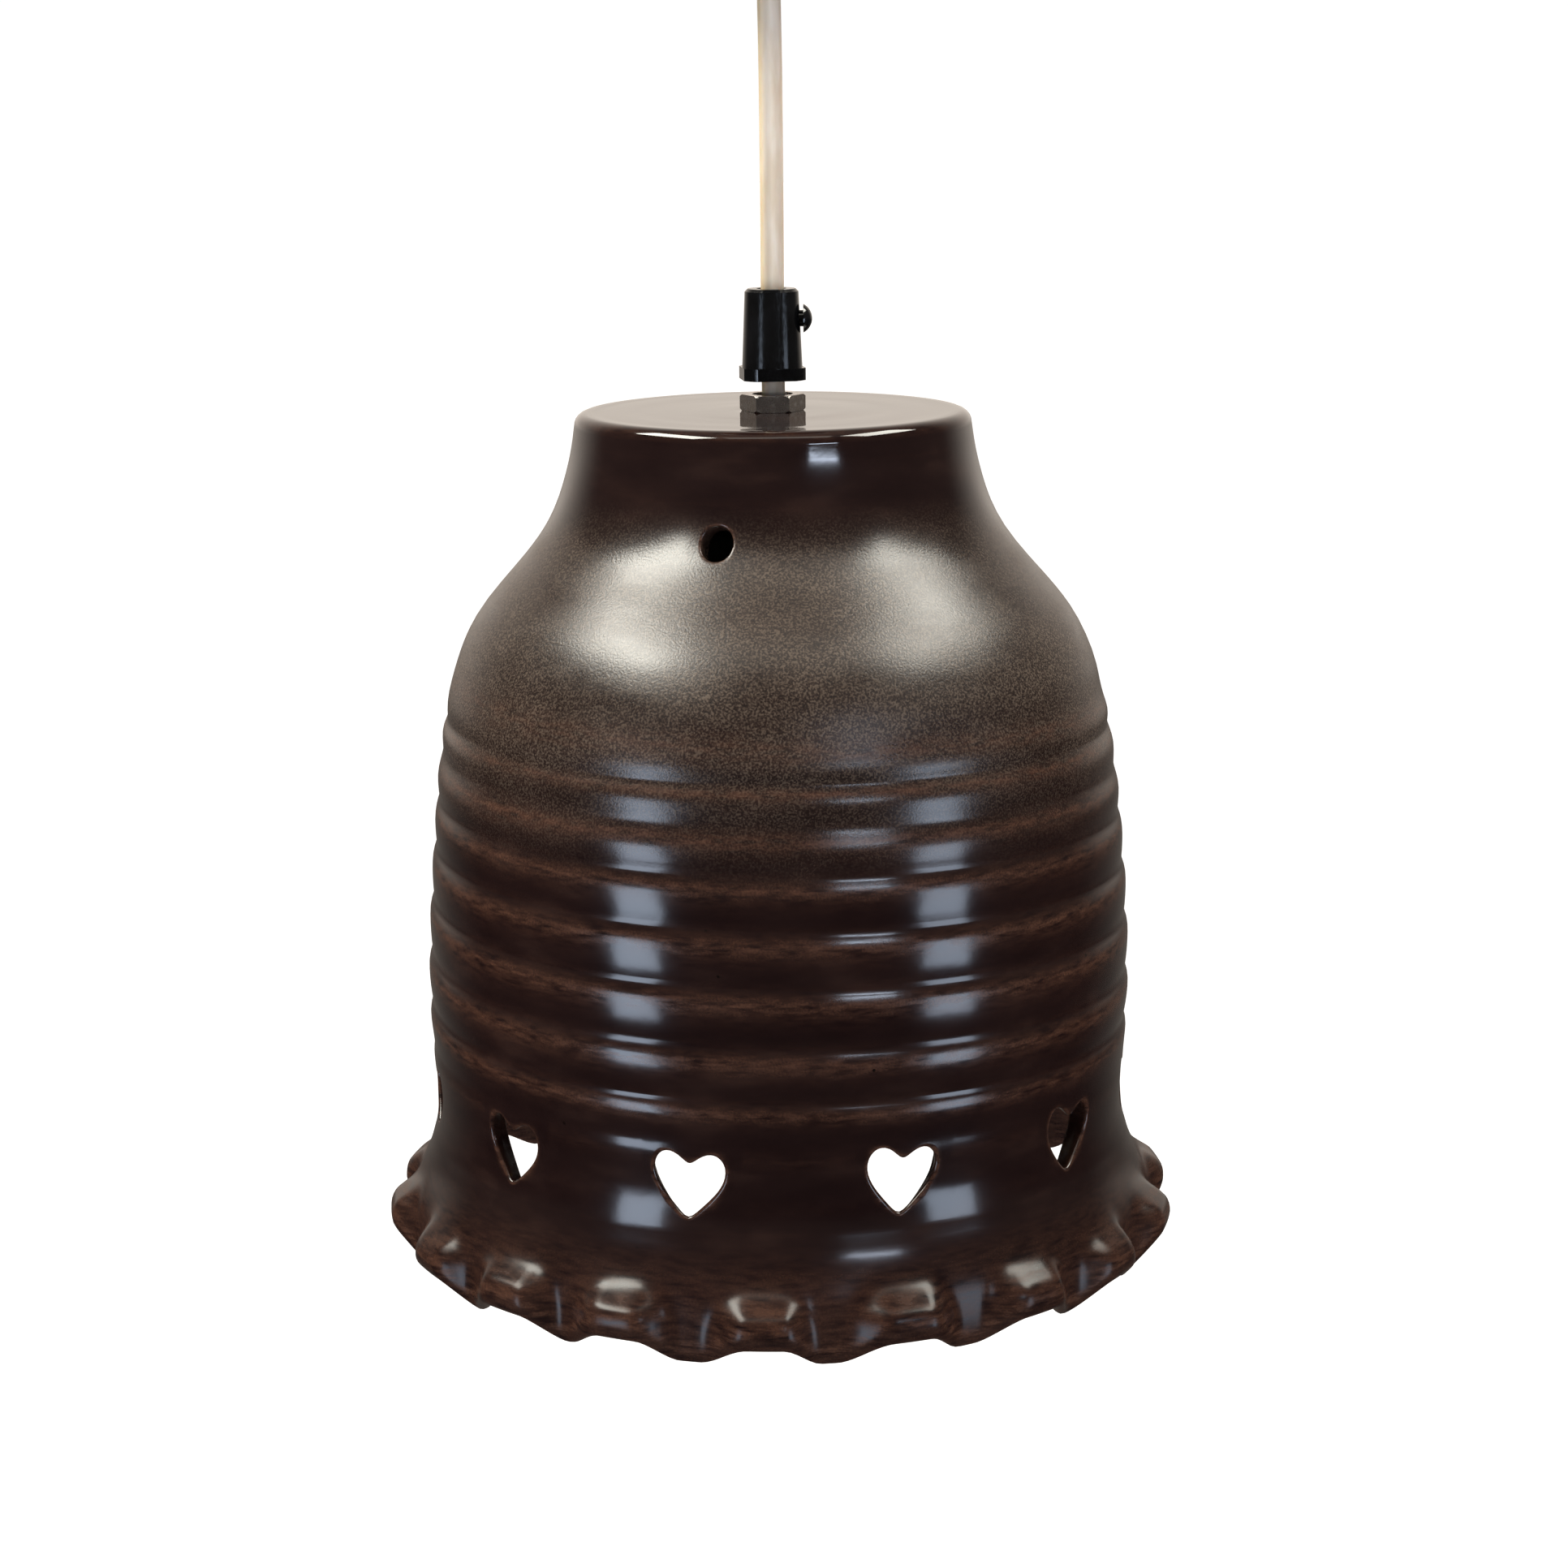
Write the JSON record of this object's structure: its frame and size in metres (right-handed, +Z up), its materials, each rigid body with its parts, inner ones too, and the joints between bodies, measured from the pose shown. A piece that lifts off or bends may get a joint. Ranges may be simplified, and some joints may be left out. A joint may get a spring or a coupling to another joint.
{
  "type": "pendant lamp",
  "caption": "Bell-shaped brown stoneware hanging lamp with a spiral-ribbed barrel, heart openings and a pinched rim, on a flat flex from a small ceiling canopy.",
  "frame": {"origin": "middle of the ceiling bracket's top face, where the lamp is screwed to the ceiling", "axes": "+Z up along the lamp's axis, +X to the right and -Y towards the front, where the cord grip's screw is on the right"},
  "size_m": [0.1996, 0.2008, 0.3715],
  "materials": {
    "glazed_stoneware": "dark brown glossy iron glaze, thin and rust-coloured on the edges",
    "plated_steel": "nickel-plated",
    "zinc_steel": "zinc-plated",
    "vulcan_fibre": "pressed fibre",
    "black_moulding": "glossy black moulded plastic",
    "nylon": "natural nylon",
    "porcelain": "unglazed white porcelain",
    "brass": "bright pressed brass",
    "flex_sheath": "aged clear-grey PVC",
    "brown_insulation": "brown PVC",
    "blue_insulation": "blue PVC",
    "cap_aluminium": "pressed aluminium",
    "black_glass": "black vitrite insulator",
    "clear_glass": "clear blown glass",
    "filament": "yellow phosphor-coated filament",
    "solder": "tinned contact",
    "block_plastic": "off-white polyamide"
  },
  "bodies": {
    "root": {"ceiling_bracket": "zinc_steel", "canopy": "black_moulding", "canopy_side_screws": "zinc_steel", "clamp_saddle": "zinc_steel", "clamp_screws": "zinc_steel", "flex_tail": "flex_sheath", "canopy_brown_core": "brown_insulation", "canopy_blue_core": "blue_insulation", "terminal_block": "block_plastic", "block_screws": "zinc_steel", "outlet_bush": "black_moulding", "outlet_nut": "plated_steel"},
    "flex": {"flex": "flex_sheath"},
    "lamp": {"stoneware_shade": "glazed_stoneware", "top_nut": "plated_steel", "threaded_nipple": "plated_steel", "fibre_washer": "vulcan_fibre", "steel_washer": "zinc_steel", "inner_nut": "plated_steel", "holder_cap": "black_moulding", "holder_grub_screw": "zinc_steel", "porcelain_insert": "porcelain", "holder_terminals": "brass", "holder_skirt": "black_moulding", "screw_shell": "brass", "centre_contact": "brass", "flex_in_nipple": "flex_sheath", "holder_brown_core": "brown_insulation", "holder_blue_core": "blue_insulation"},
    "cord_grip": {"cord_grip": "black_moulding"},
    "grip_screw_tip": {"grip_screw_tip": "nylon"},
    "grip_screw": {"grip_screw": "black_moulding"},
    "bulb_tip": {"bulb_tip": "solder"},
    "bulb": {"bulb_insulator": "black_glass", "bulb_cap": "cap_aluminium", "bulb_glass": "clear_glass", "bulb_stem": "clear_glass", "bulb_filaments": "filament"}
  },
  "joints": [
    {"name": "flex_swing", "type": "hinge", "parent": "root", "child": "flex", "pos_m": [0, 0, -0.052], "axis": [1, 0, 0], "range_deg": [-30, 30]},
    {"name": "lamp_turn", "type": "hinge", "parent": "flex", "child": "lamp", "pos_m": [0, 0, -0.157], "axis": [0, 0, 1], "range_deg": [-180, 180]},
    {"name": "grip_slide", "type": "slide", "parent": "flex", "child": "cord_grip", "axis": [0, 0, 1], "range_m": [-0.0033, 0.055]},
    {"name": "grip_screw_travel", "type": "slide", "parent": "cord_grip", "child": "grip_screw_tip", "axis": [1, 0, 0], "range_m": [0, 0.0021]},
    {"name": "grip_screw_turn", "type": "hinge", "parent": "grip_screw_tip", "child": "grip_screw", "pos_m": [0.0075, 0, -0.1377], "axis": [1, 0, 0], "range_deg": [0, 1080]},
    {"name": "bulb_travel", "type": "slide", "parent": "lamp", "child": "bulb_tip", "axis": [0, 0, 1], "range_m": [-0.0218, 0]},
    {"name": "bulb_turn", "type": "hinge", "parent": "bulb_tip", "child": "bulb", "pos_m": [0, 0, -0.23], "axis": [0, 0, 1], "range_deg": [-2160, 0]}
  ],
  "couplings": [
    {"joint": "grip_screw_turn", "follows": "grip_screw_travel", "rad_per_m": 8976},
    {"joint": "bulb_travel", "follows": "bulb_turn", "m_per_rad": 0.00057757}
  ]
}
